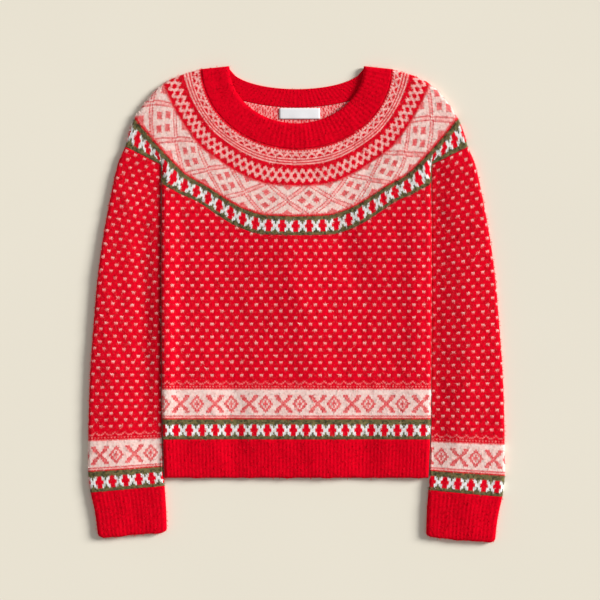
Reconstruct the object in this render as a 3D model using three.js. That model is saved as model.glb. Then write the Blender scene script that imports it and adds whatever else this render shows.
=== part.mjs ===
// A child's fair isle jumper with a round patterned yoke, laid flat on its back with both sleeves
// turned down beside the body. Millimetres: X across the jumper, Y up to the neck, Z up from the table.
// Every knitted piece is a closed wall. The upper layer lies on the lower one and turns down into it
// at the side folds. The underside of the lower layer is flat and rests on the table.

import * as THREE from 'three';

// Wall and lie of the cloth
const WALL = 2.4; // thickness of the stranded knitting
const LOFT = 8; // height of the upper layer's outer face
const LEAST_LOFT = 5.4; // where the two layers touch in a crease
const FOLD_RADIUS = 3.9; // side folds, and the height of their outermost line
const SEAM_GAP = 0.3;
const RIB_DEPTH = 0.9;
const RIB_PITCH = 4.57;
const NECK_RIBS = 53; // across the front

// Neckline: half ellipses about the middle of the shoulder line
const NECK_SEAM = { half: 118, y: 294, front: 100, back: 48 };
const NECK_MIDDLE = { half: 101, y: 296, front: 85.5, back: 38 };
const NECK_EDGE = { half: 84, y: 297.5, front: 71.5, back: 28.5 };

// Lower seam of the yoke on one half, from the sleeve's outer fold to the middle of the body.
// turn is the angle on the neck seam, from the shoulder, where the line of stitches starts.
const UNDERARM_TURN = 20;
const YOKE_SEAM = [
  { turn: 0, x: 213.5, y: 197 },
  { turn: UNDERARM_TURN, x: 169.4, y: 175 },
  { turn: 27, x: 168, y: 154 },
  { turn: 38, x: 151, y: 141 },
  { turn: 50, x: 123, y: 128 },
  { turn: 60, x: 99, y: 112 },
  { turn: 69, x: 71, y: 96 },
  { turn: 78, x: 42, y: 87.5 },
  { turn: 90, x: 0, y: 86.3 },
];
const BODY_TURN = YOKE_SEAM[2].turn;

// Shoulder fold: a row for each section of the yoke, by its share of the way to the lower seam
const SHOULDER = [
  { share: 0, x: 118, y: 294 },
  { share: 0.12, x: 132, y: 290 },
  { share: 0.27, x: 151, y: 283.5 },
  { share: 0.457, x: 169, y: 273 },
  { share: 0.62, x: 186.5, y: 255 },
  { share: 0.78, x: 201.5, y: 232 },
  { share: 0.89, x: 208.5, y: 215 },
  { share: 1, x: 213.5, y: 197 },
];
const SHOULDER_REACH = 60; // turn at which the shoulder's roundness has died out

// Body: half width at each height, from the underarm to the hem
const BODY_SIDE = [
  { y: 154, half: 168 },
  { y: 60, half: 168.6 },
  { y: -60, half: 168.3 },
  { y: -168, half: 166.6 },
  { y: -216.5, half: 164.6 },
];
const RIB_TOP = -168;
const HEM_EDGE = -216.5;
const BODY_ROWS = 9;
const LOWER_EVERY = 3; // the plain lower layer keeps every third row
const HEM_BACK_STEPS = 12;

// Sleeve: outer and inner fold at each section, from the yoke to the cuff
const SLEEVE = [
  { outerX: 213.5, outerY: 197, innerX: 169.4, innerY: 175 },
  { outerX: 222.5, outerY: 176, innerX: 169.3, innerY: 158 },
  { outerX: 231.5, outerY: 137, innerX: 169.3, innerY: 122 },
  { outerX: 241, outerY: 85, innerX: 169.3, innerY: 74 },
  { outerX: 248, outerY: 34, innerX: 169.3, innerY: 26 },
  { outerX: 253, outerY: -24, innerX: 169.3, innerY: -29 },
  { outerX: 257.5, outerY: -88, innerX: 169, innerY: -90 },
  { outerX: 259.5, outerY: -152, innerX: 168.2, innerY: -150 },
  { outerX: 260, outerY: -206, innerX: 166.9, innerY: -200 },
  { outerX: 257, outerY: -237, innerX: 164.5, innerY: -228.5 },
];
const CUFF = [
  { outerX: 257, outerY: -237, innerX: 164.5, innerY: -228.5 },
  { outerX: 251, outerY: -265, innerX: 162.5, innerY: -258 },
  { outerX: 247.5, outerY: -294.5, innerX: 161.5, innerY: -288 },
];
const SIDES = [
  { name: 'left', sign: -1, drop: -3 },
  { name: 'right', sign: 1, drop: 3 },
];

// Long soft folds in the upper layer: crest or trough, by its middle, length, breadth and direction
const FOLDS = [
  { x: -153, y: -20, rise: 3, length: 150, breadth: 15, angle: 90 },
  { x: 2, y: 10, rise: 1.9, length: 85, breadth: 24, angle: 104 },
  { x: 149, y: -10, rise: 2.2, length: 150, breadth: 17, angle: 90 },
  { x: 64, y: 62, rise: -1.5, length: 60, breadth: 20, angle: 108 },
  { x: 78, y: 150, rise: -1.6, length: 45, breadth: 16, angle: 58 },
  { x: -78, y: -160, rise: -2.2, length: 60, breadth: 15, angle: 94 },
  { x: -118, y: -120, rise: 0.9, length: 90, breadth: 20, angle: 88 },
  { x: 86, y: -185, rise: -1.7, length: 50, breadth: 15, angle: 88 },
  { x: 24, y: -190, rise: 1, length: 40, breadth: 18, angle: 90 },
  { x: 76, y: 285, rise: -1.8, length: 16, breadth: 5, angle: 78 },
  { x: -140, y: 176, rise: -0.9, length: 32, breadth: 9, angle: 118 },
  { x: 142, y: 180, rise: -0.8, length: 30, breadth: 9, angle: 60 },
  { x: -236, y: -50, rise: 1.6, length: 130, breadth: 15, angle: 94 },
  { x: 213, y: -60, rise: 1.6, length: 140, breadth: 16, angle: 87 },
  { x: -205, y: -262, rise: -0.9, length: 26, breadth: 9, angle: 84 },
  { x: 218, y: -265, rise: 1.4, length: 34, breadth: 12, angle: 94 },
];
// Underarm crease between body and sleeve. Below its foot the body's own side fold takes over.
const CREASE = { x: 168.8, top: 192, fade: 30, foot: 148, end: -226, depth: 3, inside: 4, outside: 18 };

// Woven label inside the back of the neck, below the neckband
const LABEL = { width: 51, height: 13.4, x: 4, top: 245, thickness: 0.6 };

const RED = 0xd4101f;
const PATTERNED_RED = 0xcf3038;
const PATTERNED_PINK = 0xd98c86;
const LABEL_WHITE = 0xeeeeea;
const WOOL_ROUGHNESS = 0.95;

const radians = THREE.MathUtils.degToRad;
const lerp = THREE.MathUtils.lerp;

// Smooth value of one column of a table, with no overshoot between its rows
function tableAt(rows, key, column, at) {
  const last = rows.length - 1;
  const way = Math.sign(rows[last][key] - rows[0][key]);
  let i = 0;
  while (i < last - 1 && (at - rows[i + 1][key]) * way > 0) i += 1;
  const slope = (j) => (rows[j + 1][column] - rows[j][column]) / (rows[j + 1][key] - rows[j][key]);
  const tangent = (j) => {
    if (j === 0) return slope(0);
    if (j === last) return slope(last - 1);
    const before = slope(j - 1);
    const after = slope(j);
    return before * after <= 0 ? 0 : (2 * before * after) / (before + after);
  };
  const span = rows[i + 1][key] - rows[i][key];
  const t = THREE.MathUtils.clamp((at - rows[i][key]) / span, 0, 1);
  const [t2, t3] = [t * t, t * t * t];
  return (2 * t3 - 3 * t2 + 1) * rows[i][column] + (t3 - 2 * t2 + t) * span * tangent(i)
    + (3 * t2 - 2 * t3) * rows[i + 1][column] + (t3 - t2) * span * tangent(i + 1);
}

// Height of the upper layer's outer face over the table
function loftAt(x, y) {
  let height = LOFT;
  for (const fold of FOLDS) {
    const along = radians(fold.angle);
    const dx = x - fold.x;
    const dy = y - fold.y;
    const far = (dx * Math.cos(along) + dy * Math.sin(along)) / fold.length;
    const wide = (dy * Math.cos(along) - dx * Math.sin(along)) / fold.breadth;
    height += fold.rise * Math.exp(-far * far - wide * wide);
  }
  const away = Math.abs(x) - CREASE.x;
  const breadth = away < 0 ? CREASE.inside : CREASE.outside;
  const onBody = away < 0 ? THREE.MathUtils.smoothstep(y, CREASE.foot, CREASE.foot + CREASE.fade / 2) : 1;
  const fade = onBody * THREE.MathUtils.smoothstep(CREASE.top - y, 0, CREASE.fade)
    * THREE.MathUtils.smoothstep(y, CREASE.end, CREASE.end + CREASE.fade);
  height -= CREASE.depth * fade * Math.exp(-((away / breadth) ** 2));
  return Math.max(height, LEAST_LOFT);
}

// Point of a neck ellipse. Turn 0 is its end at negative X, 90 its middle and 180 its other end.
function neckPoint(ellipse, side, turn) {
  const a = radians(turn);
  return { x: -ellipse.half * Math.cos(a), y: ellipse.y - ellipse[side] * Math.sin(a) };
}

// Point of the yoke's lower seam on the half with positive X
function seamPoint(turn) {
  if (turn > UNDERARM_TURN) {
    return { x: tableAt(YOKE_SEAM, 'turn', 'x', turn), y: tableAt(YOKE_SEAM, 'turn', 'y', turn) };
  }
  const [outer, inner] = YOKE_SEAM;
  const t = turn / UNDERARM_TURN;
  return { x: lerp(outer.x, inner.x, t), y: lerp(outer.y, inner.y, t) };
}

// Point of the yoke at a share of the way from the neck seam to the lower seam
function yokePoint(side, turn, share) {
  const near = Math.min(turn, 180 - turn);
  const sign = turn < 90 ? -1 : 1;
  const neck = neckPoint(NECK_SEAM, side, 180 - near);
  const seam = seamPoint(near);
  const straight = {
    x: lerp(NECK_SEAM.half, YOKE_SEAM[0].x, share),
    y: lerp(NECK_SEAM.y, YOKE_SEAM[0].y, share),
  };
  const bulgeX = tableAt(SHOULDER, 'share', 'x', share) - straight.x;
  const bulgeY = tableAt(SHOULDER, 'share', 'y', share) - straight.y;
  const weight = Math.max(0, 1 - near / SHOULDER_REACH) ** 2;
  return {
    x: sign * (lerp(neck.x, seam.x, share) + weight * bulgeX),
    y: lerp(neck.y, seam.y, share) + weight * bulgeY,
  };
}

// One layer across a section. points run from fold to fold in plan, the first and last on the folds.
// rise goes from 0 at the fold's outermost line to 1 on the flat, and the inner face follows inside it.
const FOLD_STEPS = [0, 30, 60, 90];
function layerAcross(points) {
  const last = points.length - 1;
  const toward = (a, b, distance) => {
    const t = distance / Math.hypot(b.x - a.x, b.y - a.y);
    return { x: lerp(a.x, b.x, t), y: lerp(a.y, b.y, t) };
  };
  const turned = (end, next) => FOLD_STEPS.map((degrees) => {
    const [rise, back] = [Math.sin(radians(degrees)), 1 - Math.cos(radians(degrees))];
    const outer = toward(end, next, FOLD_RADIUS * back);
    const inner = toward(end, next, WALL + (FOLD_RADIUS - WALL) * back);
    return { outer, inner, rise };
  });
  const start = turned(points[0], points[1]);
  const end = turned(points[last], points[last - 1]).reverse();
  const flat = points.slice(1, last).map((p, k) => ({ outer: p, inner: p, rise: 1, rib: k % 2 }));
  return [...start, ...flat, ...end];
}

// Outer and inner points of an upper layer. base is the height of its folds' outermost line.
function upperLayer(points, base, ribDepth = 0) {
  return layerAcross(points).map(({ outer, inner, rise, rib }) => ({
    outer: new THREE.Vector3(outer.x, outer.y,
      base + (loftAt(outer.x, outer.y) - base) * rise + (rib ? ribDepth : 0)),
    inner: new THREE.Vector3(inner.x, inner.y,
      base + (loftAt(inner.x, inner.y) - WALL - base) * rise),
  }));
}

function lowerLayer(points, base) {
  return layerAcross(points).map(({ outer, inner, rise }) => ({
    outer: new THREE.Vector3(outer.x, outer.y, base * (1 - rise)),
    inner: new THREE.Vector3(inner.x, inner.y, lerp(base, WALL, rise)),
  }));
}

// A whole turn round a flat tube: over the top, then back underneath
function ringAcross(upperPoints, lowerPoints, ribDepth) {
  const over = upperLayer(upperPoints, FOLD_RADIUS, ribDepth);
  const under = lowerLayer(lowerPoints, FOLD_RADIUS).reverse();
  return [...over, ...under.slice(1, -1)];
}

// Closed wall from sections of outer and inner points. A ring joins up around, a panel has side edges.
// Sections run so that, seen from outside, around is to the left of along.
function wall(name, sections, { ring, color }) {
  const around = sections[0].length;
  const positions = [];
  for (const face of ['outer', 'inner']) {
    for (const section of sections) {
      for (const point of section) positions.push(...point[face].toArray());
    }
  }
  const innerStart = sections.length * around;
  const outerAt = (i, j) => i * around + (j % around);
  const innerAt = (i, j) => innerStart + outerAt(i, j);
  const index = [];
  const quad = (a, b, c, d) => index.push(a, b, c, a, c, d);
  const columns = ring ? around : around - 1;
  const lastRow = sections.length - 1;
  for (let j = 0; j < columns; j += 1) {
    for (let i = 0; i < lastRow; i += 1) {
      quad(outerAt(i, j), outerAt(i + 1, j), outerAt(i + 1, j + 1), outerAt(i, j + 1));
      quad(innerAt(i, j), innerAt(i, j + 1), innerAt(i + 1, j + 1), innerAt(i + 1, j));
    }
    quad(outerAt(0, j), outerAt(0, j + 1), innerAt(0, j + 1), innerAt(0, j));
    quad(outerAt(lastRow, j + 1), outerAt(lastRow, j), innerAt(lastRow, j), innerAt(lastRow, j + 1));
  }
  if (!ring) {
    for (let i = 0; i < lastRow; i += 1) {
      quad(outerAt(i + 1, 0), outerAt(i, 0), innerAt(i, 0), innerAt(i + 1, 0));
      quad(outerAt(i, columns), outerAt(i + 1, columns), innerAt(i + 1, columns), innerAt(i, columns));
    }
  }
  const geometry = new THREE.BufferGeometry();
  geometry.setAttribute('position', new THREE.Float32BufferAttribute(positions, 3));
  geometry.setIndex(index);
  geometry.computeVertexNormals();
  const material = new THREE.MeshStandardMaterial({ color, roughness: WOOL_ROUGHNESS, metalness: 0 });
  const mesh = new THREE.Mesh(geometry, material);
  mesh.name = name;
  return mesh;
}

const spread = (count, from, to) => Array.from({ length: count + 1 }, (_, k) => lerp(from, to, k / count));

// Neckband: a ribbed ring with a point on every rib and in every furrow in front
const NECK_BACK_STEPS = 24;
const CLEAR_TURN = 4; // turn from a side fold's end that its own points take up
function neckband() {
  const trim = SEAM_GAP / 2;
  const trimmed = {
    half: NECK_SEAM.half - trim,
    y: NECK_SEAM.y,
    front: NECK_SEAM.front - trim,
    back: NECK_SEAM.back - trim,
  };
  const turns = (steps) => {
    const inner = spread(steps, 0, 180).filter((turn) => turn > CLEAR_TURN && turn < 180 - CLEAR_TURN);
    return [0, ...inner, 180];
  };
  const sections = [NECK_EDGE, NECK_MIDDLE, trimmed].map((ellipse) => ringAcross(
    turns(2 * NECK_RIBS).map((turn) => neckPoint(ellipse, 'front', turn)),
    turns(NECK_BACK_STEPS).map((turn) => neckPoint(ellipse, 'back', turn)),
    RIB_DEPTH,
  ));
  return wall('neckband', sections, { ring: true, color: RED });
}

// Lines of stitches that fan out from the neck seam over the sleeves and the body
const SLEEVE_TURNS = [0, 6, 11, 16, UNDERARM_TURN];
const BODY_TURNS = [BODY_TURN, 32, 38, 44, 50, 55, 60, 65, 70, 75, 80, 85, 90];
function bothHalves(turns) {
  const other = turns.filter((turn) => turn < 90).reverse();
  return [...turns, ...other.map((turn) => 180 - turn)];
}

function yoke() {
  const turns = bothHalves([...SLEEVE_TURNS, ...BODY_TURNS]);
  const start = SEAM_GAP / 2 / (NECK_SEAM.y - NECK_SEAM.front - YOKE_SEAM.at(-1).y);
  const shares = [start, ...SHOULDER.slice(1).map((row) => row.share)];
  const sections = shares.map((share) => ringAcross(
    turns.map((turn) => yokePoint('front', turn, share)),
    turns.map((turn) => yokePoint('back', turn, share)),
  ));
  return wall('yoke', sections, { ring: true, color: PATTERNED_PINK });
}

// Points of the body across one row, from side fold to side fold
function bodyRow(turns, share, bottomY) {
  const widest = YOKE_SEAM[2].x;
  return turns.map((turn) => {
    const seam = seamPoint(Math.min(turn, 180 - turn));
    const y = lerp(seam.y - SEAM_GAP, bottomY, share);
    const x = (seam.x / widest) * tableAt(BODY_SIDE, 'y', 'half', y);
    return { x: turn < 90 ? -x : x, y };
  });
}

function bodyPanels() {
  const turns = bothHalves(BODY_TURNS);
  const rows = spread(BODY_ROWS, 0, 1).map((share) => bodyRow(turns, share, RIB_TOP + SEAM_GAP / 2));
  const lowerRows = rows.filter((row, k) => k % LOWER_EVERY === 0);
  return [
    wall('body_front', rows.map((row) => upperLayer(row, FOLD_RADIUS + SEAM_GAP / 2)),
      { ring: false, color: PATTERNED_RED }),
    wall('body_back', lowerRows.map((row) => lowerLayer(row, FOLD_RADIUS - SEAM_GAP / 2).reverse()),
      { ring: false, color: PATTERNED_RED }),
  ];
}

function hemPanels() {
  const top = RIB_TOP - SEAM_GAP / 2;
  const half = (y) => tableAt(BODY_SIDE, 'y', 'half', y);
  const ribs = Math.round((2 * half(RIB_TOP)) / RIB_PITCH);
  const row = (y, steps) => {
    const across = spread(steps, -half(y), half(y));
    const clear = half(y) - FOLD_RADIUS - SEAM_GAP;
    return [across[0], ...across.filter((x) => Math.abs(x) < clear), across.at(-1)].map((x) => ({ x, y }));
  };
  const heights = [top, lerp(top, HEM_EDGE, 0.5), HEM_EDGE];
  return [
    wall('hem_front',
      heights.map((y) => upperLayer(row(y, 2 * ribs), FOLD_RADIUS + SEAM_GAP / 2, RIB_DEPTH)),
      { ring: false, color: RED }),
    wall('hem_back',
      heights.map((y) => lowerLayer(row(y, HEM_BACK_STEPS), FOLD_RADIUS - SEAM_GAP / 2).reverse()),
      { ring: false, color: RED }),
  ];
}

const SLEEVE_STEPS = 9;
const SLEEVE_UNDER_STEPS = 6;
const SLANTED_GAP = SEAM_GAP * Math.SQRT2; // along Y at the yoke, whose seam slants there

// A flat tube between the outer and inner folds of each row, on one side of the body
function sleeveTube(name, side, rows, { acrossSteps, ribDepth, color, startGap, endGap }) {
  const reach = CUFF.at(-1).outerY - SLEEVE[0].outerY;
  const sections = rows.map((row, k) => {
    let shift = (-side.drop * (row.outerY - SLEEVE[0].outerY)) / reach;
    if (k === 0) shift -= startGap;
    if (k === rows.length - 1) shift += endGap;
    const outer = { x: side.sign * row.outerX, y: row.outerY + shift };
    const inner = { x: side.sign * row.innerX, y: row.innerY + shift };
    const across = (steps) => spread(steps, 0, 1).map((t) => ({
      x: lerp(outer.x, inner.x, t),
      y: lerp(outer.y, inner.y, t),
    }));
    const over = across(acrossSteps);
    const under = across(SLEEVE_UNDER_STEPS);
    return side.sign < 0 ? ringAcross(over, under, ribDepth)
      : ringAcross(over.reverse(), under.reverse(), ribDepth);
  });
  return wall(name, sections, { ring: true, color });
}

function sleevesAndCuffs() {
  const cuffRibs = Math.round((CUFF[1].outerX - CUFF[1].innerX) / RIB_PITCH);
  const sleeve = {
    acrossSteps: SLEEVE_STEPS,
    ribDepth: 0,
    color: PATTERNED_RED,
    startGap: SLANTED_GAP,
    endGap: SEAM_GAP / 2,
  };
  const cuff = {
    acrossSteps: 2 * cuffRibs,
    ribDepth: RIB_DEPTH,
    color: RED,
    startGap: SEAM_GAP / 2,
    endGap: 0,
  };
  return SIDES.flatMap((side) => [
    sleeveTube(`sleeve_${side.name}`, side, SLEEVE, sleeve),
    sleeveTube(`cuff_${side.name}`, side, CUFF, cuff),
  ]);
}

// Label: a thin woven strip that lies on the inside of the back
function label() {
  const base = WALL + SEAM_GAP;
  const sections = [LABEL.top, LABEL.top - LABEL.height].map((y) => (
    [-0.5, 0.5].map((t) => ({
      outer: new THREE.Vector3(LABEL.x + t * LABEL.width, y, base + LABEL.thickness),
      inner: new THREE.Vector3(LABEL.x + t * LABEL.width, y, base),
    }))
  ));
  return wall('label', sections, { ring: false, color: LABEL_WHITE });
}

const jumper = new THREE.Group();
jumper.name = 'fair_isle_jumper';
jumper.add(neckband(), yoke(), ...bodyPanels(), ...hemPanels(), ...sleevesAndCuffs(), label());

export default jumper;
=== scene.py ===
# A child's fair isle jumper laid flat, seen from straight above. Every stitch of the upper layer is
# two slanting legs, and knitting charts give each stitch its yarn. Lengths are millimetres unless
# a comment says metres, and they turn to metres where a mesh is made.
import math

import bpy
import numpy as np
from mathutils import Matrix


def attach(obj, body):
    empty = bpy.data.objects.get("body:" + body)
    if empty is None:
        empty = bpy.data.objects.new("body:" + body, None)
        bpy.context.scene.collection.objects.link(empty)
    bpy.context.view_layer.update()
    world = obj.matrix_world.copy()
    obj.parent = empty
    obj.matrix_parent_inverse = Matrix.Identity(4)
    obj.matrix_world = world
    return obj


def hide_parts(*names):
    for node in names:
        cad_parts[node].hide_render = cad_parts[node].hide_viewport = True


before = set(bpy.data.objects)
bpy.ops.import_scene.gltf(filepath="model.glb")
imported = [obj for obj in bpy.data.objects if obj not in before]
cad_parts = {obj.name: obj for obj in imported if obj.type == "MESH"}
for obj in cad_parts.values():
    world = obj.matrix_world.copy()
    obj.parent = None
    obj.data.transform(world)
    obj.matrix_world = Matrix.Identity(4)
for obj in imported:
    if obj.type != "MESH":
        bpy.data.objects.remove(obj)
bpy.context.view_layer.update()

MM = 0.001
SEEDS = {"waves": 11, "strays": 5, "body_front": 3, "sleeve": 7}


def table(columns, *rows):
    """A small table as one array for each named column."""
    return {name: np.array(values, float) for name, values in zip(columns.split(), zip(*rows))}


# The cloth and how it lies, as in the solids
WALL = 2.4
LOFT = 8
LEAST_LOFT = 5.4
FOLD_RADIUS = 3.9
FLAT_START = FOLD_RADIUS * math.pi / 2  # way round a side fold to the flat
FOLD_STEPS = 3  # coarse mesh columns round a side fold
SEAM_GAP = 0.3
CROWN = 0.3  # share of its height that a sleeve loses towards its side folds
CROWN_REACH = 11
LIP = 1.5  # how far a free edge curls down
LIP_REACH = 4
CORNER = 6  # radius of a cuff's corners

# Neckline half ellipses and the yoke's lower seam
NECK_SEAM = {"half": 118, "y": 294, "front": 100, "back": 48}
NECK_EDGE = {"half": 84, "y": 297.5, "front": 71.5, "back": 28.5}
UNDERARM_TURN = 20
YOKE_SEAM = table(
    "turn x y",
    (0, 213.5, 197),
    (UNDERARM_TURN, 169.4, 175),
    (27, 168, 154),
    (38, 151, 141),
    (50, 123, 128),
    (60, 99, 112),
    (69, 71, 96),
    (78, 42, 87.5),
    (90, 0, 86.3),
)
FREE_TURN = 38  # rows above the seam run straight on to here, past the underarm's step
FREE_SHARE = 0.8  # share of the way down from which they turn into the step
SHOULDER = table(
    "share x y",
    (0, 118, 294),
    (0.12, 132, 290),
    (0.27, 151, 283.5),
    (0.457, 169, 273),
    (0.62, 186.5, 255),
    (0.78, 201.5, 232),
    (0.89, 208.5, 215),
    (1, 213.5, 197),
)
SHOULDER_REACH = 60  # turn at which the shoulder's bulge has died away
YOKE_DEPTH = 107.7
BODY_TOP = YOKE_SEAM["y"][2]
BODY_SIDE = table(
    "y half",
    (-216.5, 164.6),
    (-168, 166.6),
    (-60, 168.3),
    (60, 168.6),
    (154, 168),
)
RIB_TOP = -168
HEM_TOP = RIB_TOP - SEAM_GAP / 2
HEM_EDGE = -216.5
SLEEVE = table(
    "outer_x outer_y inner_x inner_y",
    (257, -237, 164.5, -228.5),
    (260, -206, 166.9, -200),
    (259.5, -152, 168.2, -150),
    (257.5, -88, 169, -90),
    (253, -24, 169.3, -29),
    (248, 34, 169.3, 26),
    (241, 85, 169.3, 74),
    (231.5, 137, 169.3, 122),
    (222.5, 176, 169.3, 158),
    (213.5, 197, 169.4, 175),
)
CUFF = table(
    "outer_x outer_y inner_x inner_y",
    (247.5, -294.5, 161.5, -288),
    (251, -265, 162.5, -258),
    (257, -237, 164.5, -228.5),
)
# Soft ridges of the upper layer, and troughs where the rise is negative
FOLDS = table(
    "x y rise length breadth angle",
    (-160, -20, 4, 160, 11, 90),
    (-174, -20, 3, 160, 9, 90),
    (-192, -20, -2, 160, 12, 90),
    (-88, 0, -1.7, 130, 28, 96),
    (2, 10, 3, 90, 26, 102),
    (149, -10, 2.2, 150, 17, 90),
    (64, 62, -2.5, 65, 20, 108),
    (78, 150, -2.1, 45, 16, 58),
    (-78, -160, -2.6, 60, 15, 94),
    (86, -185, -2.4, 50, 17, 88),
    (24, -190, 1, 40, 18, 90),
    (76, 285, -1.8, 16, 5, 78),
    (-140, 176, -0.9, 32, 9, 118),
    (142, 180, -0.8, 30, 9, 60),
    (-236, -50, 1.6, 130, 15, 94),
    (213, -60, 1.6, 140, 16, 87),
    (-205, -262, -0.9, 26, 9, 84),
    (218, -265, 1.4, 34, 12, 94),
)
# Trough at each side of the body. It reaches from top to end on the sleeve's side of x, and from
# top to foot on the body's side, where the body's own fold goes on below.
CREASE = {
    "x": 168.8,
    "top": 192,
    "foot": 148,
    "end": -226,
    "fade": 30,
    "depth": 3,
    "inside": 4,
    "outside": 18,
}
LABEL = {"width": 51, "height": 13.4, "x": 4, "top": 245, "thickness": 0.6, "columns": 24, "rows": 8}
LABEL_ARCH = {"rise": 0.5, "wave": 0.25, "turn": 0.21, "power": 4}  # between its sewn ends

# Knitting
STITCH = 2.04  # width of a stitch
ROW = 1.6  # height of a row
SLANT = 0.85  # rows by which a stitch's middle hangs below its sides
SLIVER = 0.3  # share of a stitch or row that is too narrow to keep at an edge
WALE_RELIEF = 0.16  # how far a stitch's middle rises and its sides sink
RELIEF_NOISE = 0.05
NECK_RIBS = {"front": 53, "back": 46}
RIB_PITCH = 4.57
RIB_DEPTH = 0.25
BACK_RIB_DEPTH = 0.2
RIB_MIDDLE = 0.5
RIB_SWING = 0.75  # more than the middle, so that ribs and the grooves between them are level
RIB_AT_SEAM = 0.45  # share of a rib's depth that is left at a seam
RIB_GROWTH = 6  # way from a seam to full ribs
RIB_STEPS = 6  # mesh columns to one rib
EDGE_WAVES = ((0.45, 8.5, 0), (0.3, 3.7, 1))  # rise, millimetres to a radian, and phase
EDGE_INSET = 0.5  # keeps the waves about inside the solid's edge
EDGE_REACH = 12  # how far the waves of a free edge reach into the cloth

# Mesh columns and rows where there are no stitches to follow
UNDER_STEPS = 8  # across the layer of a sleeve or cuff that rests on the floor
RING_UNDER_STEPS = 16  # the same for the neckband and the yoke
RING_LINING_STEPS = 24
PANEL_STEPS = 40
LINING_ROWS = {"body_front": 9, "sleeve": 12}
LINING_EVERY = {"hem_front": 13, "cuff": 8}  # rows of ribbing to one row of its lining
NECK_TURNS = np.linspace(0, 180, 121)
YOKE_TURNS = np.linspace(0, 180, 361)
RIB_ROWS = {"neckband": 22, "hem_front": 26, "cuff": 32}

# Each yarn's usual colour on screen, and the one it strays towards
YARNS = {
    "R": ((236, 3, 36), (220, 2, 31)),  # red
    "D": ((221, 3, 31), (205, 2, 27)),  # the red yarn made darker for the ribbing: painted shade
    "W": ((254, 229, 221), (246, 203, 195)),  # cream
    "L": ((255, 203, 196), (250, 162, 158)),  # pale pink
    "G": ((130, 120, 76), (56, 60, 44)),  # moss green
    "N": ((250, 248, 250), (222, 220, 214)),  # white
    "P": ((246, 136, 134), (236, 84, 90)),  # pink
    "M": ((228, 72, 80), (242, 134, 130)),  # rose
    "F": ((255, 168, 164), (228, 94, 98)),  # floats on the wrong side
}

# How far single stitches stray, over a patch of stitch columns and rows that repeats
STRAY_PATCH = (97, 89, 1)
STRAY_POWER = 1.4  # most stitches stay near their yarn's usual colour

# Charts, top row first. Each row repeats sideways by its own length.
OXO = (
    "NRRRNGGG",
    "NRRRNNGN",
    "NRRRNNGN",
    "RRRRRNNN",
    "RRRRRNNN",
    "RRRRRNNN",
    "NRRRNNGN",
    "NRRRNNGN",
    "NRRRNGGG",
)
CROSS_TOP = (
    "MPMWWWWWMPMWWWWMWWWWW",
    "MPMWWWWWMPMWWWMPMWWWW",
    "WMPMWWWMPMWWWWMPMWWWW",
    "WMPMWWWMPMWWWMPWPMWWW",
    "WWMPMWMPMWWWMPWMWPMWW",
    "WWWMPMPMWWWWMPWPWPMWW",
    "WWWWMPMWWWWMPWPMPWPMW",
)
CROSS = (*"WWWW", *CROSS_TOP, *reversed(CROSS_TOP), *"WW")
ZIGZAG = (
    "RRRRRR",
    "PRRRRR",
    "RPRRRP",
    "RRPPPR",
    "R",
    "PR",
    "R",
    "P",
)
LICE = (
    "RRRRRR",
    "LLRRRR",
    "PPRRRR",
    "RRRRRR",
    "RRRRRR",
    "RRRRRR",
    "RRRLLR",
    "RRRPPR",
    "RRRRRR",
    "RRRRRR",
)
NECK_LINES = (
    "R",
    "LR",
    "L",
    "LRRRL",
    "LLRLL",
    "RLLLR",
    "RRLRR",
    "L",
    "R",
    "L",
    "R",
    "L",
    "R",
    "R",
)
LATTICE = (
    "RRRRR",
    "RRLRR",
    "RLLLR",
    "RLLLR",
    "LLRLL",
    "LRRRL",
    "LRRRL",
    "LRRRL",
    "LLRLL",
    "RLLLR",
    "RLLLR",
    "RRLRR",
    "RRRRR",
    "RRRRR",
)
SQUARES_TOP = (
    "WWWWPPPPPWWWWWMLLMWMLLMW",
    "WWWWWPPPWWWWWMLLMWWWMLLM",
    "MWWWWWPWWWWWMLLMWWWWWMWW",
    "WMWWWWWWWWWMLLMWWWMWWWMW",
    "WWMWWWWWWWMLLMWWWMPMWWWM",
    "MLLMWWWWWMLLMWWWMPMPMWWW",
    "WMLLMWWWMLLMWWWWWMPMWWWW",
    "WWMLLMWMLLMWWWWWWWMWWWWW",
    "WWWMLLMLLMWWWWMWWWWWWWMW",
    "WWWWMWMWMWWWWMPMWWWWWMPM",
    "MWWWWMWMWWWWMPMPMWWWMPMP",
)
SQUARES = ("P", *SQUARES_TOP, *reversed(SQUARES_TOP[:-1]), "P", "R")
WRONG_SIDE = (
    "FFRFFRFF",
    "RFFFRFFF",
    "FFFRFFRF",
    "FRFFFFRF",
    "FFRFFFFR",
)


def stack(*bands):
    """Rows of some bands from the bottom up, from bands of chart and shift, top band first."""
    return [(line, shift) for chart, shift in reversed(bands) for line in reversed(chart)]


def border(oxo_shift, cross_shift, lice_shift):
    """Rows of the body or a sleeve from its ribbing up. The last rows are the plain field's."""
    return stack(
        (LICE, lice_shift),
        (ZIGZAG, lice_shift),
        (CROSS, cross_shift),
        (("M", "L", "R"), 0),
        (("G",) * 4, 0),
        (OXO, oxo_shift),
        (("G",) * 3, 0),
    )


# The yoke's bands from the neck down, with the stitches across the front in each
YOKE_BANDS = (
    {"chart": NECK_LINES, "stitches": 185, "shift": 0},
    {"chart": LATTICE, "stitches": 225, "shift": 3},
    {"chart": SQUARES, "stitches": 211, "shift": 11},
    {"chart": ("G",) * 3, "stitches": 240, "shift": 0},
    {"chart": OXO, "stitches": 240, "shift": 3},
    {"chart": ("G",) * 3, "stitches": 240, "shift": 0},
)
YOKE_ROWS = stack(*((band["chart"], band["shift"] - band["stitches"] // 2) for band in YOKE_BANDS))


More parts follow.
